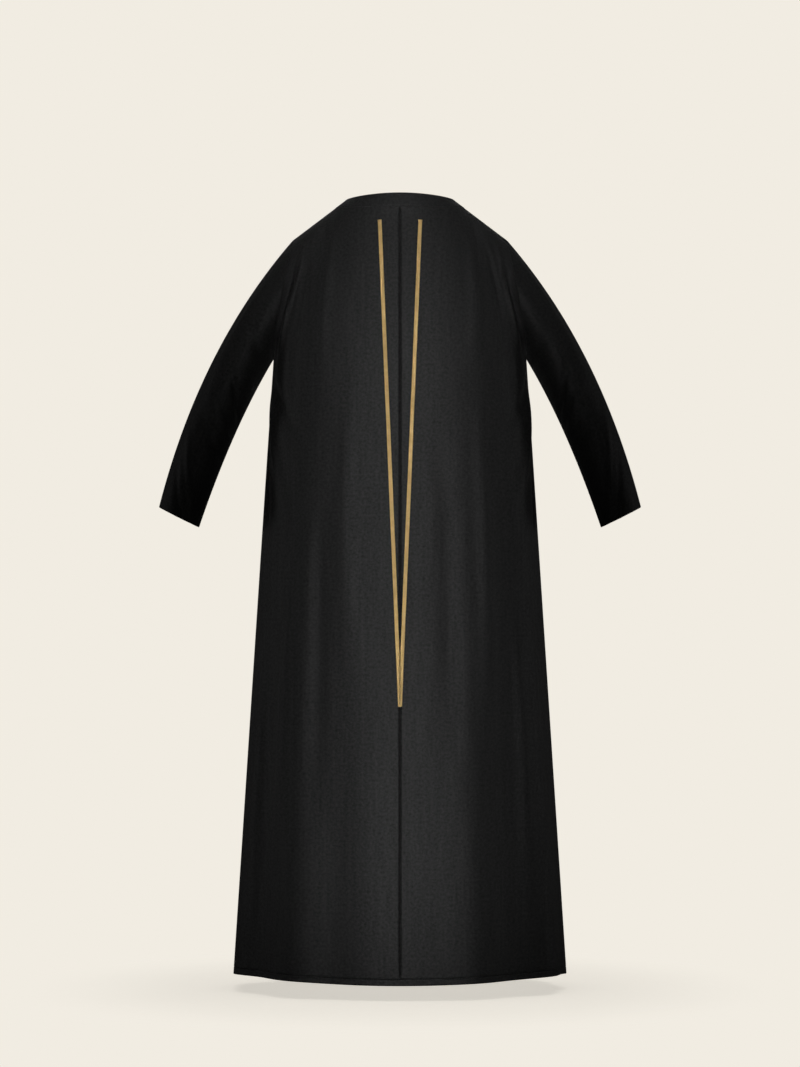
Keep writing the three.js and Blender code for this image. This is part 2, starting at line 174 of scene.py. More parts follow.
# Creases: the start, bend and end of an arc, two widths and a rise. A place is the share of the way across,
# as above, and the distance below the chest line on the body, or from the armhole on a sleeve, where share 0
# is the upper edge and 1 the underarm seam, in front, or -1, behind. The widths are half the crease's width
# at its start and end, and a minus rise makes a trough.
BODY_CREASES = {FRONT: [
    # Drag lines from the armpits towards the chest and down over the hips.
    ((-0.97, 20), (-0.80, 62), (-0.46, 150), (14, 26), -8.5),
    ((-0.95, 60), (-0.80, 130), (-0.58, 300), (14, 26), 7),
    ((-0.96, 105), (-0.86, 250), (-0.74, 470), (14, 30), -7),
    ((0.97, 15), (0.84, 75), (0.56, 120), (14, 24), -7),
    ((0.96, 55), (0.80, 160), (0.62, 260), (14, 28), 8.5),
    ((0.95, 120), (0.88, 300), (0.80, 560), (14, 30), -7),
    # Loose cloth in front of the armholes, and a slack line from each side of the neck.
    ((-0.80, -215), (-0.74, -110), (-0.78, 30), (14, 20), 8.5),
    ((-0.64, -190), (-0.58, -80), (-0.60, 110), (16, 24), -5.5),
    ((0.82, -205), (0.72, -120), (0.77, 15), (14, 20), 7),
    ((0.62, -210), (0.60, -60), (0.64, 140), (16, 26), -7),
    ((-0.34, -250), (-0.40, -120), (-0.36, 40), (14, 22), 4),
    ((0.38, -240), (0.42, -140), (0.34, 20), (14, 24), 4),
    # Long folds between the flutes, which rise and die out at their own heights.
    ((-0.20, 60), (-0.25, 330), (-0.17, 620), (20, 34), 5.5),
    ((-0.36, 250), (-0.33, 520), (-0.35, 840), (18, 30), -7),
    ((-0.54, 380), (-0.55, 640), (-0.53, 960), (16, 26), 7),
    ((-0.73, 560), (-0.74, 800), (-0.72, 1040), (16, 24), 7),
    ((0.16, 150), (0.21, 430), (0.18, 760), (20, 32), -5.5),
    ((0.37, 90), (0.40, 400), (0.37, 700), (18, 30), 7),
    ((0.56, 420), (0.58, 700), (0.57, 1000), (16, 26), 7),
    ((0.75, 300), (0.77, 560), (0.76, 860), (14, 24), -5.5),
], BACK: [
    # Drag lines from the armpits over the shoulder blades.
    ((-0.97, 10), (-0.78, 30), (-0.48, 96), (14, 26), -8.5),
    ((-0.96, 52), (-0.78, 120), (-0.60, 240), (14, 26), 7),
    ((-0.95, 110), (-0.88, 260), (-0.72, 420), (14, 30), -7),
    ((0.97, 18), (0.80, 48), (0.52, 70), (14, 24), -8.5),
    ((0.96, 62), (0.82, 150), (0.56, 290), (14, 28), 7),
    ((0.95, 100), (0.90, 280), (0.78, 500), (14, 30), -7),
    # Loose cloth behind the armholes, and the hollow between the shoulder blades.
    ((-0.79, -220), (-0.72, -100), (-0.76, 40), (14, 22), 8.5),
    ((0.81, -215), (0.74, -90), (0.79, 30), (14, 22), 8.5),
    ((-0.10, -240), (-0.06, -60), (-0.10, 260), (22, 36), -7),
    ((0.36, -190), (0.30, 0), (0.33, 240), (18, 28), 5.5),
    ((-0.40, -200), (-0.36, -20), (-0.42, 200), (18, 28), 5.5),
    # Long folds between the flutes.
    ((-0.22, 140), (-0.24, 430), (-0.20, 760), (18, 32), 7),
    ((-0.46, 220), (-0.44, 520), (-0.47, 880), (18, 28), -7),
    ((-0.69, 420), (-0.70, 700), (-0.69, 1000), (16, 26), 7),
    ((0.02, 320), (0.00, 600), (0.03, 930), (18, 28), 7),
    ((0.24, 80), (0.26, 380), (0.23, 700), (18, 32), -5.5),
    ((0.48, 300), (0.50, 600), (0.47, 940), (16, 28), 7),
    ((0.71, 360), (0.73, 640), (0.71, 900), (14, 26), -7),
]}
SLEEVE_CREASES = {LEFT: [
    ((0.95, 14), (0.66, 50), (0.34, 150), (13, 24), -5),
    ((0.96, 60), (0.72, 96), (0.52, 196), (13, 20), 4),
    ((0.20, 40), (0.30, 160), (0.24, 300), (16, 22), 4),
    # The inner bend of the elbow.
    ((0.97, 128), (0.70, 140), (0.34, 196), (12, 19), -5),
    ((0.97, 166), (0.70, 190), (0.30, 262), (12, 19), 4),
    ((0.96, 196), (0.68, 236), (0.36, 330), (12, 19), -4),
    # The forearm, twisted a little forwards.
    ((0.16, 330), (0.40, 390), (0.78, 400), (14, 20), 4),
    ((0.22, 410), (0.44, 450), (0.72, 440), (14, 17), -3),
    # Behind.
    ((-0.95, 20), (-0.66, 66), (-0.40, 170), (13, 24), -5),
    ((-0.97, 140), (-0.70, 160), (-0.38, 230), (12, 19), -4),
    ((-0.96, 180), (-0.66, 216), (-0.42, 310), (12, 19), 4),
    ((-0.24, 60), (-0.32, 180), (-0.26, 320), (16, 22), 4),
    ((-0.24, 350), (-0.50, 400), (-0.82, 396), (14, 19), -4),
], RIGHT: [
    ((0.95, 20), (0.70, 64), (0.30, 136), (13, 24), -5),
    ((0.96, 70), (0.68, 110), (0.46, 220), (13, 20), 4),
    ((0.24, 70), (0.26, 180), (0.30, 280), (16, 22), 4),
    ((0.97, 140), (0.68, 146), (0.30, 214), (12, 19), -5),
    ((0.97, 180), (0.74, 200), (0.38, 290), (12, 19), 4),
    ((0.96, 216), (0.64, 260), (0.30, 340), (12, 19), -4),
    ((0.20, 370), (0.42, 410), (0.80, 380), (14, 20), 4),
    ((0.18, 440), (0.40, 470), (0.66, 450), (14, 17), -3),
    ((-0.95, 16), (-0.70, 56), (-0.36, 150), (13, 24), -5),
    ((-0.97, 150), (-0.72, 166), (-0.34, 250), (12, 19), -4),
    ((-0.96, 192), (-0.68, 236), (-0.40, 330), (12, 19), 4),
    ((-0.28, 50), (-0.26, 190), (-0.30, 300), (16, 22), 4),
    ((-0.20, 380), (-0.46, 420), (-0.80, 410), (14, 19), -4),
]}
CREASE_FADE = 28  # over this distance a crease dies out at a seam
CREASE_STEPS = 16  # straight steps in the arc of a crease
CREASE_EASING = 6  # rounds of easing that smooth the creases over the mesh
CREASE_END = 0.05  # how far into its swell a crease starts, and how far before the end it stops

# ---- small sums


def lerp(start, end, share):
    return start + (end - start) * share


def smoothstep(value, low, high):
    share = np.clip((value - low) / (high - low), 0, 1)
    return share * share * (3 - 2 * share)


def unit(vectors):
    return vectors / np.maximum(np.linalg.norm(vectors, axis=-1, keepdims=True), 1e-9)


def vec(x, y, z):
    return np.stack(np.broadcast_arrays(x, y, z), axis=-1).astype(float)


def bezier(points, share):
    """A point on a curve of three or four control points."""
    while len(points) > 1:
        points = [lerp(a, b, share) for a, b in zip(points, points[1:])]
    return points[0]


# ---- the body's form


def neck_ring_point(ring, angle, side, face):
    """A point on a quarter of a ring round the neck, at an angle from the side to the middle of that face."""
    return vec(
        side * ring.half_width * np.cos(angle),
        face * ring.reach[face] * np.sin(angle),
        ring.side_z + ring.rise[face] * np.sin(angle) ** 2,
    )


def neck_ring_run(ring, angle, side, face):
    return unit(vec(
        -side * ring.half_width * np.sin(angle),
        face * ring.reach[face] * np.cos(angle),
        ring.rise[face] * np.sin(2 * angle),
    ))


def column_angle(column, last, half_width, squareness):
    """The angle of a column, which crosses the centre strip evenly and shares out the rest of the quarter."""
    across_strip = np.clip(column, 0, 1) * CENTRE_STRIP / half_width
    first = np.arccos((CENTRE_STRIP / half_width) ** (squareness / 2))
    on_strip = np.arccos(across_strip ** (squareness / 2))
    return np.where(column < 1, on_strip, first * (last - column) / (last - 1))


def skirt_point(column, z, side, face):
    """A point of the skirt without its flutes: straight at the sides, easing outwards in front and behind."""
    down = (CHEST.z - z) / (CHEST.z - HEM.z)
    half_width = lerp(CHEST.half_width, HEM.half_width, down)
    reach = lerp(CHEST.reach[face], HEM.reach[face], np.maximum(down, 0) ** FLARE)
    squareness = lerp(CHEST.squareness, HEM.squareness, down)
    angle = column_angle(column, COLUMNS, half_width, squareness)
    power = 2 / squareness
    return vec(side * half_width * np.cos(angle) ** power, face * reach * np.sin(angle) ** power, z)


def yoke_point(column, share, side, face):
    """A point of the yoke, at a share of the way from the neck or shoulder seam down to the chest line."""
    on_neck = np.minimum(column, NECK_COLUMNS)
    angle = column_angle(on_neck, NECK_COLUMNS, NECK_SEAM.half_width, 2)
    seam = neck_ring_point(NECK_SEAM, angle, side, face)
    along_shoulder = np.clip((column - NECK_COLUMNS) / (COLUMNS - NECK_COLUMNS), 0, 1)
    shoulder = SHOULDER * [side, 1, 1]
    top = lerp(seam, shoulder, along_shoulder[..., None])
    down_band = unit(seam - neck_ring_point(NECK_EDGE, angle, side, face))
    round_neck = neck_ring_run(NECK_SEAM, angle, side, face)
    armhole_handle = BULGE_HANDLE * ARMHOLE_REACH[face]
    over = smoothstep(column / COLUMNS, 0, TO_ARM)[..., None]
    leaving = down_band * COLUMN_HANDLE * (1 - over) + round_neck * armhole_handle * over
    chest = skirt_point(column, np.full_like(column, CHEST.z), side, face)
    upwards = unit(chest - skirt_point(column, np.full_like(column, CHEST.z - STEP_DOWN), side, face))
    under = np.clip((column / COLUMNS - TO_ARM) / (1 - TO_ARM), 0, 1)[..., None]
    round_arm = np.array([0, face * armhole_handle, ARMHOLE_RISE])
    arriving = upwards * COLUMN_HANDLE * (1 - under) + round_arm * under
    return bezier([top, top + leaving, chest + arriving, chest], share[..., None])


def half_face(side, face):
    """One half of the body's front or back as rows of points, from the centre to the side seam."""
    columns = np.linspace(0, COLUMNS, COLUMNS * LINES_PER_COLUMN + 1)
    column, share = np.meshgrid(columns, np.linspace(0, 1, YOKE_LINES + 1))
    yoke = yoke_point(column, share, side, face)
    band_top = HEM.z + HEM_BAND
    heights = [
        *np.linspace(CHEST.z, band_top, SKIRT_LINES + 1)[1:],
        *np.linspace(band_top, HEM.z, HEM_BAND_LINES + 1)[1:],
    ]
    column, z = np.meshgrid(columns, heights)
    forward = skirt_point(columns, np.full_like(columns, HEM.z), side, face)[:, 1] / (face * HEM.reach[face])
    z += HEM_RISE * forward * (1 - forward) * np.clip((CHEST.z - z) / (CHEST.z - band_top), 0, 1)
    return np.concatenate([yoke, skirt_point(column, z, side, face)])


def ease(grid, rounds, share=0.5):
    """Draws each inner point or height of a grid a share of the way to its neighbours' mean, in place."""
    for _ in range(rounds):
        mean = (grid[:-2, 1:-1] + grid[2:, 1:-1] + grid[1:-1, :-2] + grid[1:-1, 2:]) / 4
        grid[1:-1, 1:-1] = lerp(grid[1:-1, 1:-1], mean, share)


def normals_of(points):
    """The outward normals of a sheet whose columns run from the wearer's right to the left in front."""
    return unit(np.cross(np.gradient(points, axis=0), np.gradient(points, axis=1)))


def flute_lift(flutes, share, z):
    lift = np.zeros_like(z)
    for at, width, rise, start in flutes:
        across = smoothstep(1 - np.abs(share - at) / width, 0, 1)
        lift += rise * smoothstep(start - z, 0, start - HEM.z) * across
    return lift


def crease_lift(creases, share, half_width, down):
    """How far the creases lift each point of a sheet, whose half widths are given row by row."""
    lift = np.zeros_like(down)
    steps = np.linspace(0, 1, CREASE_STEPS + 1)
    for *places, widths, rise in creases:
        nearest = np.full_like(down, np.inf)
        along = np.zeros_like(down)
        route = [bezier([np.array(place, float) for place in places], step) for step in steps]
        for number, (start, end) in enumerate(zip(route, route[1:])):
            away_x = (share - start[0]) * half_width
            away_y = down - start[1]
            run_x = (end[0] - start[0]) * half_width
            run_y = end[1] - start[1]
            part = np.clip((away_x * run_x + away_y * run_y) / (run_x ** 2 + run_y ** 2), 0, 1)
            away = np.hypot(away_x - run_x * part, away_y - run_y * part)
            along = np.where(away < nearest, (number + part) / CREASE_STEPS, along)
            nearest = np.minimum(away, nearest)
        swell = np.sin(np.pi * lerp(CREASE_END, 1 - CREASE_END, along))
        lift += rise * smoothstep(1 - nearest / lerp(*widths, along), 0, 1) * swell
    ease(lift, CREASE_EASING)
    return lift


def seam_fade(across, from_top):
    """1 away from the side seams and the top seam, and 0 on them, so that no fold pulls them apart."""
    from_side = np.minimum(across - across[:, :1], across[:, -1:] - across)
    return smoothstep(np.abs(from_side), 0, CREASE_FADE) * smoothstep(from_top, 0, CREASE_FADE)


# ---- sheets of cloth
# A sheet is an array of rows and columns. Each entry holds a point on the outer face, the normal of the plain
# form there, and the place on the flat cut, across and down.
POINT, NORMAL, FLAT = slice(0, 3), slice(3, 6), slice(6, 8)

# The ways the grain of the body and of each sleeve runs.
DOWN = np.array([0, 0, -1.0])
DOWN_ARM = unit(UPPER_EDGE.end + LOWER_EDGE.end - UPPER_EDGE.start - LOWER_EDGE.start)
DOWN_SLEEVE = {side: DOWN_ARM * [side, 1, 1] for side in SIDE_NAMES}


def lengths_along(points, axis):
    """The distance of each point from the first one, along the rows or the columns of a sheet."""
    steps = np.cumsum(np.linalg.norm(np.diff(points, axis=axis), axis=-1), axis=axis)
    return np.insert(steps, 0, 0, axis=axis)


def square_to(points, grain):
    """The distance of each point from the first one of its row, measured square to the way the grain runs."""
    return lengths_along(points - (points @ grain)[..., None] * grain, 1)


def sheet_of(points, across, down):
    return np.concatenate([points, normals_of(points), across[..., None], down[..., None]], axis=2)


def creased(points, share, creases, lift, grain, crease_row, flat_row):
    """The sheet of a plain form with its folds. Its creases and its flat cut are each placed from one row."""
    across = lengths_along(points, 1)
    down = lengths_along(points, 0)
    middle = points.shape[1] // 2
    half_width = across[:, -1:] - across[:, [middle]]
    creases_lift = crease_lift(creases, share, half_width, down - down[crease_row])
    lift = lift + creases_lift * seam_fade(across, down)
    cut_across = square_to(points, grain)
    points = points + normals_of(points) * lift[..., None]
    return sheet_of(points, cut_across - cut_across[:, [middle]], down - down[flat_row])


def body_face(face):
    """The whole front or back with its folds, before it is cut into panels."""
    points = np.concatenate([half_face(RIGHT, face)[:, :0:-1], half_face(LEFT, face)], axis=1)
    fading = smoothstep(np.arange(1, SETTLED_LINES), SETTLED_LINES * SETTLED_SHARE, SETTLED_LINES)
    ease(points[:SETTLED_LINES + 1], SETTLING, 0.5 * (1 - fading)[:, None, None])
    share = np.linspace(-1, 1, points.shape[1])[None, :]
    if face == BACK:
        points, share = points[:, ::-1], share[:, ::-1]
    lift = flute_lift(FLUTES[face], share, points[..., 2])
    return creased(points, share, BODY_CREASES[face], lift, DOWN, YOKE_LINES, YOKE_LINES)


def sleeve(side):
    """A sleeve with its creases, open along the underarm seam."""
    share = np.linspace(-1, 1, 2 * SLEEVE_HALF_LINES + 1)
    share, along = np.meshgrid(-share * side, np.linspace(0, 1, SLEEVE_LINES + 1))
    face = np.where(share > 0, FRONT, BACK)
    armhole_reach = np.where(share > 0, ARMHOLE_REACH[FRONT], ARMHOLE_REACH[BACK])
    reach = BULGE_HANDLE * face * lerp(armhole_reach, CUFF_HALF_DEPTH, along)
    upper = bezier(list(UPPER_EDGE), along[..., None])
    lower = bezier(list(LOWER_EDGE), along[..., None])
    over = upper + vec(0, reach, 0)
    under = lower + vec(0, reach, ARMHOLE_RISE * (1 - along))
    points = bezier([upper, over, under, lower], np.abs(share)[..., None])
    points -= vec(0, SLEEVE_FORWARD * along ** 2, 0)
    points *= [side, 1, 1]
    return creased(points, share, SLEEVE_CREASES[side], 0, DOWN_SLEEVE[side], 0, -1)


def strip_places(points):
    """The places on a straight strip, cut along the grain and eased into its ring, across and down."""
    along = lengths_along(points, 1).mean(axis=0)
    return np.broadcast_arrays(along, lengths_along(points, 0))


def neck_ring(ring):
    """A ring round the neck, from the middle of the back, by the wearer's right, to the front and on."""
    columns = np.linspace(0, NECK_COLUMNS, NECK_COLUMNS * LINES_PER_COLUMN + 1)
    angle = column_angle(columns, NECK_COLUMNS, NECK_SEAM.half_width, 2)
    return np.concatenate([
        neck_ring_point(ring, angle, RIGHT, BACK)[:-1],
        neck_ring_point(ring, angle, RIGHT, FRONT)[:0:-1],
        neck_ring_point(ring, angle, LEFT, FRONT)[:-1],
        neck_ring_point(ring, angle, LEFT, BACK)[::-1],
    ])


def neck_band():
    down = np.linspace(0, 1, NECK_BAND_LINES + 1)[:, None, None]
    points = lerp(neck_ring(NECK_EDGE), neck_ring(NECK_SEAM), down)
    return sheet_of(points, *strip_places(points))


def hem_band(front, back):
    """The last rows of the front and back, joined into one strip that starts at the middle of the back."""
    middle = back.shape[1] // 2
    strip = [back[BAND_ROW:, middle:-1], front[BAND_ROW:, :-1], back[BAND_ROW:, :middle + 1]]
    strip = np.concatenate(strip, axis=1)
    strip[..., FLAT] = np.stack(strip_places(strip[..., POINT]), axis=2)
    return strip


# ---- seams and hems


def edge_first(sheet, edge):
    """The same sheet, turned so that one edge, top, bottom, start or end, is its first line."""
    turned = sheet.swapaxes(0, 1) if edge in ("start", "end") else sheet
    return turned[::-1] if edge in ("bottom", "end") else turned


def turned_back(lines, edge):
    turned = lines[::-1] if edge in ("bottom", "end") else lines
    return turned.swapaxes(0, 1) if edge in ("start", "end") else turned


def share_normals(sheets):
    """Gives edges that meet at a seam one normal, so that both roll in the same way and no gap shows."""
    places = []
    for sheet in sheets:
        rows, columns = sheet.shape[:2]
        places += [sheet[row, column] for row in range(rows) for column in range(columns)
                   if row in (0, rows - 1) or column in (0, columns - 1)]
    tree = KDTree(len(places))
    for number, place in enumerate(places):
        tree.insert(place[POINT], number)
    tree.balance()
    shared = []
    for place in places:
        meeting = tree.find_range(place[POINT], SAME_PLACE)
        shared.append(unit(sum(places[number][NORMAL] for _, number, _ in meeting)))
    for place, normal in zip(places, shared):
        place[NORMAL] = normal


def seamed(sheet, edge, seam):
    """Rolls one edge inwards, as its seam pulls it, and turns a seam allowance in behind it."""
    lines = edge_first(sheet, edge)
    edge_line, next_line = lines[0], lines[1]
    span = np.linalg.norm((next_line - edge_line)[:, POINT], axis=1, keepdims=True)
    inwards = (next_line - edge_line) / span
    width = np.minimum(seam.half_width, WIDEST_ROLL * span)
    along = lengths_along(edge_line[:, POINT], 0)[:, None]
    from_end = np.minimum(along, along[-1] - along)
    depth = seam.depth * (smoothstep(from_end, 0, seam.taper) if seam.taper else 1)
    rolled = []
    for share in ROLL_LINES:
        line = edge_line + inwards * width * share
        line[:, POINT] -= edge_line[:, NORMAL] * depth * (1 - share) ** 2
        rolled.append(line)
    allowance = rolled[0] - inwards * seam.allowance
    allowance[:, POINT] = rolled[0][:, POINT] - edge_line[:, NORMAL] * seam.allowance
    return turned_back(np.stack([allowance, *rolled, *lines[1:]]), edge)


def line_beside(sheet, edge, distance):
    """The line of places on a sheet that runs beside one edge, at a distance from it."""
    lines = edge_first(sheet, edge)
    away = lengths_along(lines[..., POINT], 0)
    found = [
        [np.interp(distance, away[:, column], lines[:, column, part]) for part in range(lines.shape[2])]
        for column in range(lines.shape[1])
    ]
    return np.array(found)


def hemmed(sheet, edge, depth, layer_gap):
    """Turns one edge under and back inside the sheet, as a hem is, with a small gap between the layers."""
    lines = edge_first(sheet, edge)
    edge_line = lines[0]
    outwards = edge_line - lines[1]
    outwards /= np.linalg.norm(outwards[:, POINT], axis=1, keepdims=True)
    turned = []
    for distance in np.linspace(depth, 0, HEM_LINES, endpoint=False):
        line = line_beside(sheet, edge, distance)
        line[:, POINT] -= line[:, NORMAL] * layer_gap
        line[:, FLAT] = edge_line[:, FLAT] + outwards[:, FLAT] * (distance + layer_gap)
        turned.append(line)
    for angle in np.linspace(np.pi, 0, HEM_FOLD_LINES, endpoint=False):
        line = edge_line.copy()
        line[:, POINT] += outwards[:, POINT] * np.sin(angle) * layer_gap / 2
        line[:, POINT] -= edge_line[:, NORMAL] * (1 - np.cos(angle)) * layer_gap / 2
        line[:, FLAT] += outwards[:, FLAT] * layer_gap * angle / np.pi
        turned.append(line)
    return turned_back(np.stack([*turned, *lines]), edge)


# ---- from sheets to meshes


def mesh_object(name, verts, faces, materials=(), edges=()):
    mesh = bpy.data.meshes.new(name)
    mesh.from_pydata(verts, edges, faces)
    for material in materials:
        mesh.materials.append(material)
    made = bpy.data.objects.new(name, mesh)
    bpy.context.scene.collection.objects.link(made)
    return made


def quads(rows, columns):
    """The faces of a grid, row by row, which point outwards."""
    place = np.arange(rows * columns).reshape(rows, columns)
    corners = [place[:-1, :-1], place[1:, :-1], place[1:, 1:], place[:-1, 1:]]
    return np.stack(corners, axis=-1).reshape(-1, 4)


def cloth(name, sheet, material):
    """One cut piece: a thin closed wall under a sheet, with its flat cut as a UV map in metres."""
    rows, columns = sheet.shape[:2]
    outer = sheet[..., POINT]
    inner = outer - normals_of(outer) * CLOTH
    verts = np.concatenate([outer, inner]).reshape(-1, 3) * MM
    under = rows * columns
    place = np.arange(under).reshape(rows, columns)
    faces = quads(rows, columns)
    round_edge = np.concatenate([place[0, :-1], place[:-1, -1], place[-1, :0:-1], place[:0:-1, 0]])
    rim_next = np.roll(round_edge, -1)
    rim = np.stack([round_edge, rim_next, rim_next + under, round_edge + under], axis=1)
    faces = np.concatenate([faces, faces[:, ::-1] + under, rim])
    made = mesh_object(name, verts.tolist(), faces.tolist(), [material])
    flat = np.tile(sheet[..., FLAT].reshape(-1, 2), (2, 1)) * MM
    layer = made.data.uv_layers.new(name="flat_cut")
    layer.data.foreach_set("uv", flat[faces.ravel()].ravel())
    made.data.shade_smooth()
    made.data.set_sharp_from_angle(angle=SHARP_ANGLE)
    return made


# ---- nodes


def linear(hex_colour):
    """An sRGB hex value as a linear colour."""
    parts = [int(hex_colour[i:i + 2], 16) / 255 for i in (1, 3, 5)]
    return (*[p / 12.92 if p <= 0.04045 else ((p + 0.055) / 1.055) ** 2.4 for p in parts], 1.0)


def add_node(tree, kind, inputs=(), **settings):
    """Adds a node with its settings and its inputs, by name or number, or as a list in their order. An input
    is given a value, or linked to an output of another node, or to the first output of the node given."""
    made = tree.nodes.new(kind)
    for name, value in settings.items():
        setattr(made, name, value)
    for name, value in inputs.items() if isinstance(inputs, dict) else enumerate(inputs):
        if isinstance(value, bpy.types.Node):
            value = value.outputs[0]
        if isinstance(value, bpy.types.NodeSocket):
            tree.links.new(value, made.inputs[name])
        else:
            made.inputs[name].default_value = value
    return made


def cleared(owner):
    """Clears the nodes of a material or world, and returns what adds a node to it."""
    owner.use_nodes = True
    owner.node_tree.nodes.clear()
    return partial(add_node, owner.node_tree)


# ---- materials


def black_crepe():
    """Polyester crepe, woven of hard-twisted yarn and dyed black. It gives the eye a deep matt black with a
    fine pebbled face, faint streaks down the warp and a soft broad sheen where it faces the light."""
    material = bpy.data.materials.new("black_polyester_crepe")
    add = cleared(material)
    flat = add("ShaderNodeUVMap", uv_map="flat_cut")
    streak = add("ShaderNodeMapping", {"Vector": flat, "Scale": (1 / (SLUB * MM), 1 / (SLUB_LENGTH * MM), 1)})
    slubs = add("ShaderNodeTexNoise", {"Vector": streak, "Scale": 1.0, "Detail": 4.0, "Roughness": 0.65})
    pebbles = add("ShaderNodeTexNoise", {
        "Vector": flat, "Scale": 1 / (PEBBLE * MM), "Detail": 2.0, "Roughness": 0.6,
    })
    warp, weft = [
        add("ShaderNodeTexWave", {
            "Vector": flat, "Scale": WAVE_SCALE / (YARN * MM), "Distortion": 3.0, "Detail": 1.0,
        }, bands_direction=direction).outputs["Fac"]
        for direction in ("X", "Y")
    ]
    grain = add("ShaderNodeMix", {"Factor": SLUB_SHARE, "A": pebbles, "B": slubs})
    grain = add("ShaderNodeMapRange", {"Value": grain, "From Min": 0.3, "From Max": 0.7})
    tone = add("ShaderNodeMix", {
        "Factor": grain, 6: linear("#0d0d0d"), 7: linear("#262626"),
    }, data_type="RGBA").outputs[2]
    woven = add("ShaderNodeMath", [warp, weft], operation="MULTIPLY")
    face = add("ShaderNodeMath", [woven, WEAVE_SHARE, pebbles], operation="MULTIPLY_ADD")
    bump = add("ShaderNodeBump", {"Height": face, "Strength": 0.6, "Distance": CREPE_RELIEF * MM})
    rough = add("ShaderNodeMapRange", {"Value": grain, "To Min": 0.72, "To Max": 0.54})
    shader = add("ShaderNodeBsdfPrincipled", {
        "Base Color": tone, "Roughness": rough, "Normal": bump, "Specular IOR Level": 0.35,
        "Sheen Weight": 0.05, "Sheen Roughness": 0.45,
    })
    add("ShaderNodeOutputMaterial", {"Surface": shader})
    return material


def gold_thread():
    """Metallic braid thread: gilt foil wound on a cotton core. It gives the eye an old, slightly worn gold,
    brighter on each strand's crown and darker where the strands cross."""
    material = bpy.data.materials.new("gilt_metal_thread")
    add = cleared(material)
    along = add("ShaderNodeAttribute", attribute_name="thread_along").outputs["Fac"]
    around = add("ShaderNodeAttribute", attribute_name="thread_around").outputs["Fac"]
    place = add("ShaderNodeCombineXYZ", [along, around])
    twist = add("ShaderNodeMapping", {"Vector": place, "Scale": (1 / (FOIL_TWIST * MM), FOIL_PLIES, 1)})
    plies = add("ShaderNodeTexWave", {
        "Vector": twist, "Scale": WAVE_SCALE, "Distortion": 0.4,
    }, bands_direction="DIAGONAL").outputs["Fac"]
    here = add("ShaderNodeTexCoord").outputs["Object"]
    worn = add("ShaderNodeTexNoise", {"Vector": here, "Scale": WEAR_PATCHES, "Detail": 2.0})
    tone = add("ShaderNodeMix", {
        "Factor": worn, 6: linear("#c8a465"), 7: linear("#e7ca8c"),
    }, data_type="RGBA").outputs[2]
    bump = add("ShaderNodeBump", {"Height": plies, "Strength": 0.5, "Distance": FOIL_RELIEF * MM})
    shader = add("ShaderNodeBsdfPrincipled", {
        "Base Color": tone, "Metallic": 0.75, "Roughness": 0.42, "Normal": bump,
    })
    add("ShaderNodeOutputMaterial", {"Surface": shader})
    return material


def sewing_thread():
    """Black spun polyester thread: a little glossier than the crepe, so the stitches just show."""
    material = bpy.data.materials.new("black_sewing_thread")
    add = cleared(material)
    here = add("ShaderNodeTexCoord").outputs["Object"]
    fibre = add("ShaderNodeTexNoise", {"Vector": here, "Scale": FIBRE_TUFTS, "Detail": 1.0})
    tone = add("ShaderNodeMix", {
        "Factor": fibre, 6: linear("#121213"), 7: linear("#232325"),
    }, data_type="RGBA").outputs[2]
    shader = add("ShaderNodeBsdfPrincipled", {"Base Color": tone, "Roughness": 0.42})
    add("ShaderNodeOutputMaterial", {"Surface": shader})
    return material


CREPE = black_crepe()
GOLD = gold_thread()
THREAD = sewing_thread()

# ---- the cut pieces

front = body_face(FRONT)
back = body_face(BACK)
neck = neck_band()
sleeves = {"sleeve_" + name: sleeve(side) for side, name in SIDE_NAMES.items()}
share_normals([front, back, neck, *sleeves.values()])
middle = front.shape[1] // 2

# Each panel, with the seams at its first and last columns.
panels = {
    "front_right": (front[:BAND_ROW + 1, :middle + 1], PANEL_SEAM, CENTRE_SEAM),
    "front_left": (front[:BAND_ROW + 1, middle:], CENTRE_SEAM, PANEL_SEAM),
    "back": (back[:BAND_ROW + 1], PANEL_SEAM, PANEL_SEAM),
}
sheets = {}
for name, (panel, first, last) in panels.items():
    panel = seamed(seamed(panel, "start", first), "end", last)
    sheets[name] = seamed(seamed(panel, "top", BAND_SEAM), "bottom", BAND_SEAM)

hem = hem_band(front, back)
sheets["neck_band"] = seamed(hemmed(neck, "top", NECK_BAND_TURN, BAND_FOLD), "bottom", BAND_SEAM)
sheets["hem_band"] = seamed(hemmed(hem, "bottom", HEM_BAND_TURN, BAND_FOLD), "top", BAND_SEAM)
for name, arm in sleeves.items():
    arm = hemmed(arm, "bottom", CUFF_HEM, BAND_FOLD)
    for edge in ("start", "end", "top"):
        arm = seamed(arm, edge, BAND_SEAM)
    sheets[name] = arm
pieces = {name: cloth(name + "_cloth", sheet, CREPE) for name, sheet in sheets.items()}

# ---- what follows a path
# A path is a row of points with the cloth's outward normal at each. Node trees lay stitches or a braid on it.


def path_object(name, points, outward, half_width=None):
    edges = [(i, i + 1) for i in range(len(points) - 1)]
    made = mesh_object(name, (np.asarray(points) * MM).tolist(), [], edges=edges)
    attributes = made.data.attributes
    attributes.new("outward", "FLOAT_VECTOR", "POINT").data.foreach_set("vector", np.ravel(outward))
    if half_width is not None:
        attributes.new("half_width", "FLOAT", "POINT").data.foreach_set("value", np.asarray(half_width) * MM)
    return made


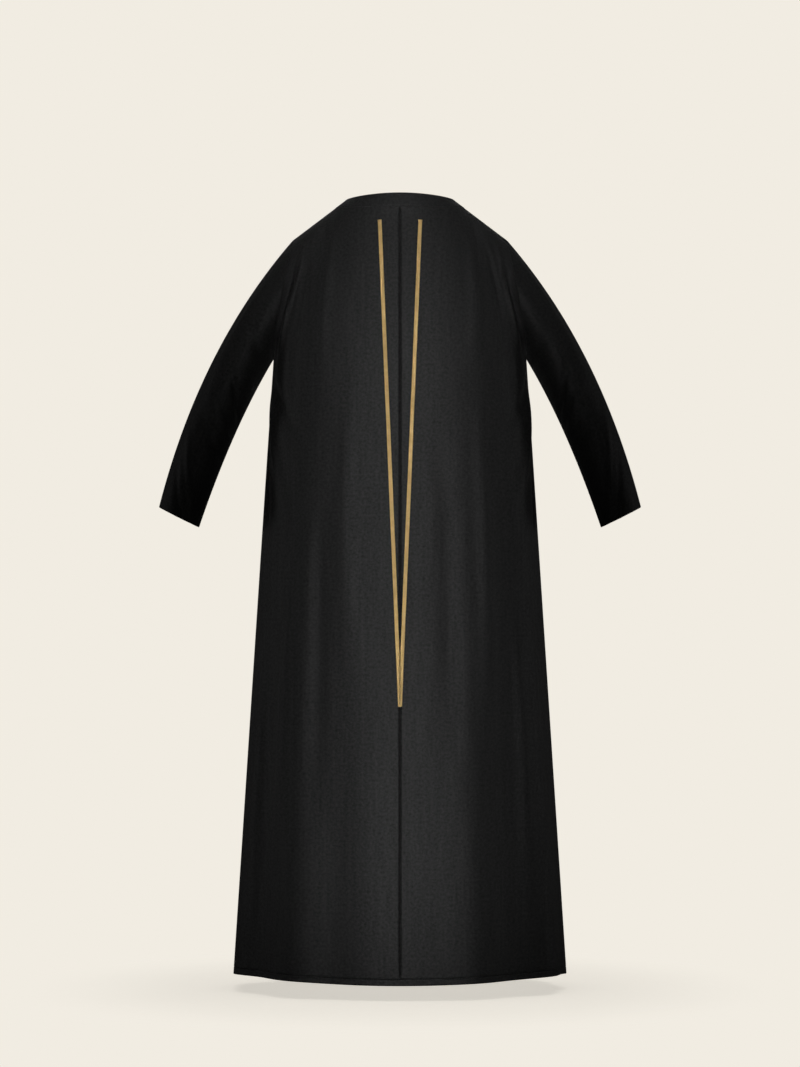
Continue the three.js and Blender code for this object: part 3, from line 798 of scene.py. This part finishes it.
def new_tree(name, inputs):
    """A geometry tree with named inputs, what adds a node to it, what it is given, and its path's curve."""
    tree = bpy.data.node_groups.new(name, "GeometryNodeTree")
    tree.interface.new_socket("Geometry", in_out="INPUT", socket_type="NodeSocketGeometry")
    kinds = {float: "NodeSocketFloat", int: "NodeSocketInt", type(None): "NodeSocketMaterial"}
    for label, value in inputs.items():
        socket = tree.interface.new_socket(label, in_out="INPUT", socket_type=kinds[type(value)])
        if value is not None:
            socket.default_value = value
    tree.interface.new_socket("Geometry", in_out="OUTPUT", socket_type="NodeSocketGeometry")
    add = partial(add_node, tree)
    given = add("NodeGroupInput").outputs
    return tree, add, given, add("GeometryNodeMeshToCurve", {"Mesh": given["Geometry"]})


def finish_tree(add, given, geometry):
    """Ends a tree with its geometry, made real and smooth, in its material."""
    real = add("GeometryNodeRealizeInstances", [geometry])
    smooth = add("GeometryNodeSetShadeSmooth", {"Geometry": real})
    finished = add("GeometryNodeSetMaterial", {"Geometry": smooth, "Material": given["Material"]})
    add("NodeGroupOutput", [finished])


def stitch_tree():
    """A run of stitches: a small rounded stitch at each step of the path, lying along it, or across it."""
    tree, add, given, curve = new_tree("run_of_stitches", {
        "Stitch Length": 2.4 * MM, "Step": 3.0 * MM, "Thread Radius": 0.25 * MM, "Across": 0.0,
        "Material": None,
    })
    steps = add("GeometryNodeResampleCurve", {"Curve": curve, "Length": given["Step"]}, mode="LENGTH")
    along = add("GeometryNodeInputTangent")
    outward = add("GeometryNodeInputNamedAttribute", {"Name": "outward"}, data_type="FLOAT_VECTOR")
    aside = add("ShaderNodeVectorMath", [along, outward], operation="CROSS_PRODUCT")
    lying = add("ShaderNodeMix", {
        "Factor": given["Across"], 4: along, 5: aside,
    }, data_type="VECTOR").outputs[1]
    turned = add("FunctionNodeAlignRotationToVector", {"Vector": lying}, axis="Z")
    ball = add("GeometryNodeMeshUVSphere", {"Segments": 6, "Rings": 4, "Radius": given["Thread Radius"]})
    thickness = add("ShaderNodeMath", [given["Thread Radius"], 2.0], operation="MULTIPLY")
    stretch = add("ShaderNodeMath", [given["Stitch Length"], thickness], operation="DIVIDE")
    scale = add("ShaderNodeCombineXYZ", [1.0, 1.0, stretch])
    stitch = add("GeometryNodeTransform", {"Geometry": ball, "Scale": scale})
    laid = add("GeometryNodeInstanceOnPoints", {"Points": steps, "Instance": stitch, "Rotation": turned})
    finish_tree(add, given, laid)
    return tree


def braid_tree():
    """A flat plait: each strand sways from edge to edge of the braid, over one strand and under the next."""
    tree, add, given, curve = new_tree("flat_plait", {
        "Strands": 5, "Pitch": 11 * MM, "Strand Width": 1.9 * MM, "Strand Thickness": 2 * STRAND_HALF * MM,
        "Sway": 0.38 * MM, "Material": None,
    })
    step = add("ShaderNodeMath", [given["Pitch"], STEPS_IN_PITCH], operation="DIVIDE")
    steps = add("GeometryNodeResampleCurve", {"Curve": curve, "Length": step}, mode="LENGTH")
    copies = add("GeometryNodeDuplicateElements", {
        "Geometry": steps, "Amount": given["Strands"],
    }, domain="SPLINE")
    # The strands differ only in phase, which comes from the number of each copy.
    spline = add("GeometryNodeSplineParameter").outputs
    turns = add("ShaderNodeMath", [spline["Length"], given["Pitch"]], operation="DIVIDE")
    phase = add("ShaderNodeMath", [copies.outputs["Duplicate Index"], given["Strands"]], operation="DIVIDE")
    turns = add("ShaderNodeMath", [turns, phase], operation="ADD")
    angle = add("ShaderNodeMath", [turns, math.tau], operation="MULTIPLY")
    half_width = add("GeometryNodeInputNamedAttribute", {"Name": "half_width"}, data_type="FLOAT")
    half_strand = add("ShaderNodeMath", [given["Strand Width"], 0.5], operation="MULTIPLY")
    reach = add("ShaderNodeMath", [half_width, half_strand], operation="SUBTRACT")
    reach = add("ShaderNodeMath", [reach, 0.0], operation="MAXIMUM")
    swing = add("ShaderNodeMath", [angle], operation="SINE")
    across = add("ShaderNodeMath", [swing, reach], operation="MULTIPLY")
    gaps = add("ShaderNodeMath", [given["Strands"], 1.0], operation="SUBTRACT")
    crossings = add("ShaderNodeMath", [angle, gaps], operation="MULTIPLY")
    over = add("ShaderNodeMath", [crossings], operation="SINE")
    up = add("ShaderNodeMath", [over, given["Sway"], given["Sway"]], operation="MULTIPLY_ADD")
    outward = add("GeometryNodeInputNamedAttribute", {"Name": "outward"}, data_type="FLOAT_VECTOR")
    tangent = add("GeometryNodeInputTangent")
    sideways = add("ShaderNodeVectorMath", [tangent, outward], operation="CROSS_PRODUCT")
    sideways = add("ShaderNodeVectorMath", [sideways], operation="NORMALIZE")
    aside = add("ShaderNodeVectorMath", {0: sideways, "Scale": across}, operation="SCALE")
    lifted = add("ShaderNodeVectorMath", {0: outward, "Scale": up}, operation="SCALE")
    offset = add("ShaderNodeVectorMath", [aside, lifted], operation="ADD")
    plaited = add("GeometryNodeSetPosition", {"Geometry": copies, "Offset": offset})
    upright = add("GeometryNodeSetCurveNormal", {"Curve": plaited, "Normal": outward}, mode="FREE")
    marked = add("GeometryNodeStoreNamedAttribute", {
        "Geometry": upright, "Name": "thread_along", "Value": spline["Length"],
    }, data_type="FLOAT", domain="POINT")
    circle = add("GeometryNodeCurvePrimitiveCircle", {"Resolution": 8, "Radius": 0.5})
    size = add("ShaderNodeCombineXYZ", [given["Strand Thickness"], given["Strand Width"], 1.0])
    section = add("GeometryNodeTransform", {"Geometry": circle, "Scale": size})
    ringed = add("GeometryNodeStoreNamedAttribute", {
        "Geometry": section, "Name": "thread_around", "Value": spline["Factor"],
    }, data_type="FLOAT", domain="POINT")
    strands = add("GeometryNodeCurveToMesh", {"Curve": marked, "Profile Curve": ringed, "Fill Caps": True})
    finish_tree(add, given, strands)
    return tree


def laid_along(name, tree, paths, **values):
    """Runs a tree over one or more paths and keeps the result as one plain mesh."""
    made = []
    for path in paths:
        modifier = path.modifiers.new("laid", "NODES")
        modifier.node_group = tree
        for item in tree.interface.items_tree:
            if item.in_out == "INPUT" and item.name in values:
                modifier[item.identifier] = values[item.name]
        path.update_tag()
        depsgraph = bpy.context.evaluated_depsgraph_get()
        mesh = bpy.data.meshes.new_from_object(
            path.evaluated_get(depsgraph), preserve_all_data_layers=True, depsgraph=depsgraph)
        made.append(bpy.data.objects.new(name, mesh))
        bpy.context.scene.collection.objects.link(made[-1])
        bpy.data.objects.remove(path)
    if len(made) > 1:
        with bpy.context.temp_override(active_object=made[0], selected_editable_objects=made, object=made[0]):
            bpy.ops.object.join()
    made[0].name = name
    return made[0]


def on_front(x, z):
    """The place at a width and height on the front's outer face, without its rolled seams, and its normal."""
    return front_surface.ray_cast(Vector((x, WELL_IN_FRONT, z)), Vector((0, 1, 0)))[:2]


def braid_path(side):
    """The middle line of a braid down its front. It narrows where its inner edge reaches the centre seam."""
    points, outward, half_widths = [], [], []
    for z in np.linspace(BRAID_TOP, BRAID_POINT, BRAID_STEPS + 1):
        offset = BRAID_OFFSET * (z - BRAID_POINT) / (BRAID_TOP - BRAID_POINT)
        inner = max(offset - BRAID_WIDTH / 2, BRAID_CLEARANCE)
        outer = offset + BRAID_WIDTH / 2
        place, normal = on_front(side * (inner + outer) / 2, z)
        points.append(place + normal * (BRAID_CLEARANCE + STRAND_HALF))
        outward.append(normal)
        half_widths.append((outer - inner) / 2)
    return path_object("braid_path", points, outward, half_widths)


def tack_path(x, top):
    """The way of a bar tack down over the end of a braid, just above its strands."""
    places = [on_front(x, z) for z in np.linspace(top, top - TACK_LENGTH, TACK_POINTS)]
    points = [place + normal * TACK_HEIGHT for place, normal in places]
    return path_object("tack_path", points, [normal for _, normal in places])


def stitch_path(sheet, edge, distance=EDGE_STITCHING):
    line = line_beside(sheet, edge, distance)
    return path_object("stitch_path", line[:, POINT] + line[:, NORMAL] * STITCH_LIFT, line[:, NORMAL])


STITCHES = stitch_tree()
PLAIT = braid_tree()
grid = front[..., POINT]
front_surface = BVHTree.FromPolygons(grid.reshape(-1, 3).tolist(), quads(*grid.shape[:2]).tolist())
sewn_on = {}
for side, side_name in SIDE_NAMES.items():
    node = "braid_" + side_name
    braid = laid_along("plaited_" + node, PLAIT, [braid_path(side)], Material=GOLD)
    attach(braid, "root")
    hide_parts(node)
    sewn_on["front_" + side_name] = [braid]

tack_places = {
    "front_right": [(-BRAID_OFFSET, BRAID_TOP)],
    "front_left": [(BRAID_OFFSET, BRAID_TOP), (0, BRAID_POINT + TACK_LENGTH)],
}
for node, places in tack_places.items():
    paths = [tack_path(*place) for place in places]
    tacks = laid_along("tacks_" + node, STITCHES, paths, Material=GOLD, Across=1.0, **TACK_SIZES)
    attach(tacks, "root")
    sewn_on[node].append(tacks)

runs = {
    "neck_band": [stitch_path(neck, "top"), stitch_path(neck, "bottom")],
    "hem_band": [stitch_path(hem, "top")],
}
for node, arm in sleeves.items():
    runs[node] = [stitch_path(arm, "bottom", CUFF_HEM - EDGE_STITCHING)]
for node, paths in runs.items():
    run = laid_along("stitches_" + node, STITCHES, paths, Material=THREAD)
    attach(run, "root")
    sewn_on[node] = [run]

# Each cut piece hangs from the root, in place of its part, which is hidden.
for node, piece in pieces.items():
    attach(piece, "root")
    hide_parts(node)

# ---- stage, light and camera

HEM_ABOVE_FLOOR = 28 * MM
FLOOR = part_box("hem_band")[0].z - HEM_ABOVE_FLOOR
FLOOR_HALF_SIZE = 30.0
SHADOW_REACH = (0.4, 0.72)  # level distances over which the painted floor fades into the backdrop
FLOOR_GLOW = 0.70  # what the painted floor needs, besides the lamp, to look as pale as the backdrop
ROOM_GLOW = 0.01  # the faint light that comes from all round
BACKGROUND = linear("#F1ECE2")


def floor_material():
    """Matt paint near the robe, where it takes a soft shadow, which fades into an even backdrop."""
    material = bpy.data.materials.new("pale_matt_paint")
    add = cleared(material)
    place = add("ShaderNodeTexCoord").outputs["Object"]
    level = add("ShaderNodeVectorMath", [place, (1, 1, 0)], operation="MULTIPLY")
    far = add("ShaderNodeVectorMath", [level], operation="LENGTH").outputs["Value"]
    faded = add("ShaderNodeMapRange", {
        "Value": far, "From Min": SHADOW_REACH[0], "From Max": SHADOW_REACH[1],
    }, interpolation_type="SMOOTHSTEP")
    backdrop = add("ShaderNodeEmission", {"Color": BACKGROUND, "Strength": 1.0})
    glow = add("ShaderNodeEmission", {"Color": BACKGROUND, "Strength": FLOOR_GLOW})
    paint = add("ShaderNodeBsdfDiffuse", {"Color": BACKGROUND})
    near = add("ShaderNodeAddShader", [glow, paint])
    mixed = add("ShaderNodeMixShader", [faded, near, backdrop])
    add("ShaderNodeOutputMaterial", {"Surface": mixed})
    return material


half = FLOOR_HALF_SIZE
corners = [(-half, -half, FLOOR), (half, -half, FLOOR), (half, half, FLOOR), (-half, half, FLOOR)]
floor = mesh_object("floor", corners, [(0, 1, 2, 3)], [floor_material()])
floor.visible_glossy = False
floor.visible_diffuse = False

# The world looks as pale as the backdrop, and gives the robe hardly any light.
scene = bpy.context.scene
scene.world = bpy.data.worlds.new("studio")
add = cleared(scene.world)
seen = add("ShaderNodeLightPath").outputs["Is Camera Ray"]
dim = add("ShaderNodeBackground", {"Color": BACKGROUND, "Strength": ROOM_GLOW})
plain = add("ShaderNodeBackground", {"Color": BACKGROUND, "Strength": 1.0})
both = add("ShaderNodeMixShader", [seen, dim, plain])
add("ShaderNodeOutputWorld", {"Surface": both})

# Strip softboxes in front, behind and at the sides give the black cloth its sheen down the middle. The one
# overhead lights the shoulders a little, and the wide ceiling lights only the floor, where the robe keeps its
# light off and so casts a broad soft shadow. Each has its name, place, aim, width, height, spread in degrees
# and power in watts.
SOFTBOXES = [
    ("front_strip", (0, -3.2, -0.60), (0, 0, -0.60), 0.3, 3.2, 12.5, 2.4),
    ("back_strip", (0, 3.2, -0.60), (0, 0, -0.60), 0.3, 3.2, 12.5, 2.4),
    ("right_strip", (-3.2, 0, -0.60), (0, 0, -0.60), 0.3, 2.4, 24, 0.42),
    ("left_strip", (3.2, 0, -0.60), (0, 0, -0.60), 0.3, 2.4, 24, 0.42),
    ("overhead", (0, -0.1, 2.4), (0, 0, -0.5), 1.6, 1.6, 120, 4.5),
    ("ceiling", (0, 0, 2.5), (0, 0, 0), 5, 5, 180, 47),
]
for name, place, aim, width, height, spread, power in SOFTBOXES:
    light = bpy.data.objects.new(name, bpy.data.lights.new(name, "AREA"))
    light.data.shape = "RECTANGLE"
    light.data.size = width
    light.data.size_y = height
    light.data.spread = math.radians(spread)
    light.data.energy = power
    light.location = place
    light.rotation_euler = (Vector(aim) - Vector(place)).to_track_quat("-Z", "Y").to_euler()
    light.visible_camera = False
    scene.collection.objects.link(light)
floor_only = bpy.data.collections.new("lit_by_ceiling")
floor_only.objects.link(floor)
scene.objects["ceiling"].light_linking.receiver_collection = floor_only

camera = bpy.data.objects.new("camera", bpy.data.cameras.new("camera"))
camera.location = (0, -8, -0.617)
camera.rotation_euler = (math.radians(90), 0, 0)
camera.data.lens = 145.9
scene.collection.objects.link(camera)
scene.camera = camera
scene.view_settings.view_transform = "Standard"
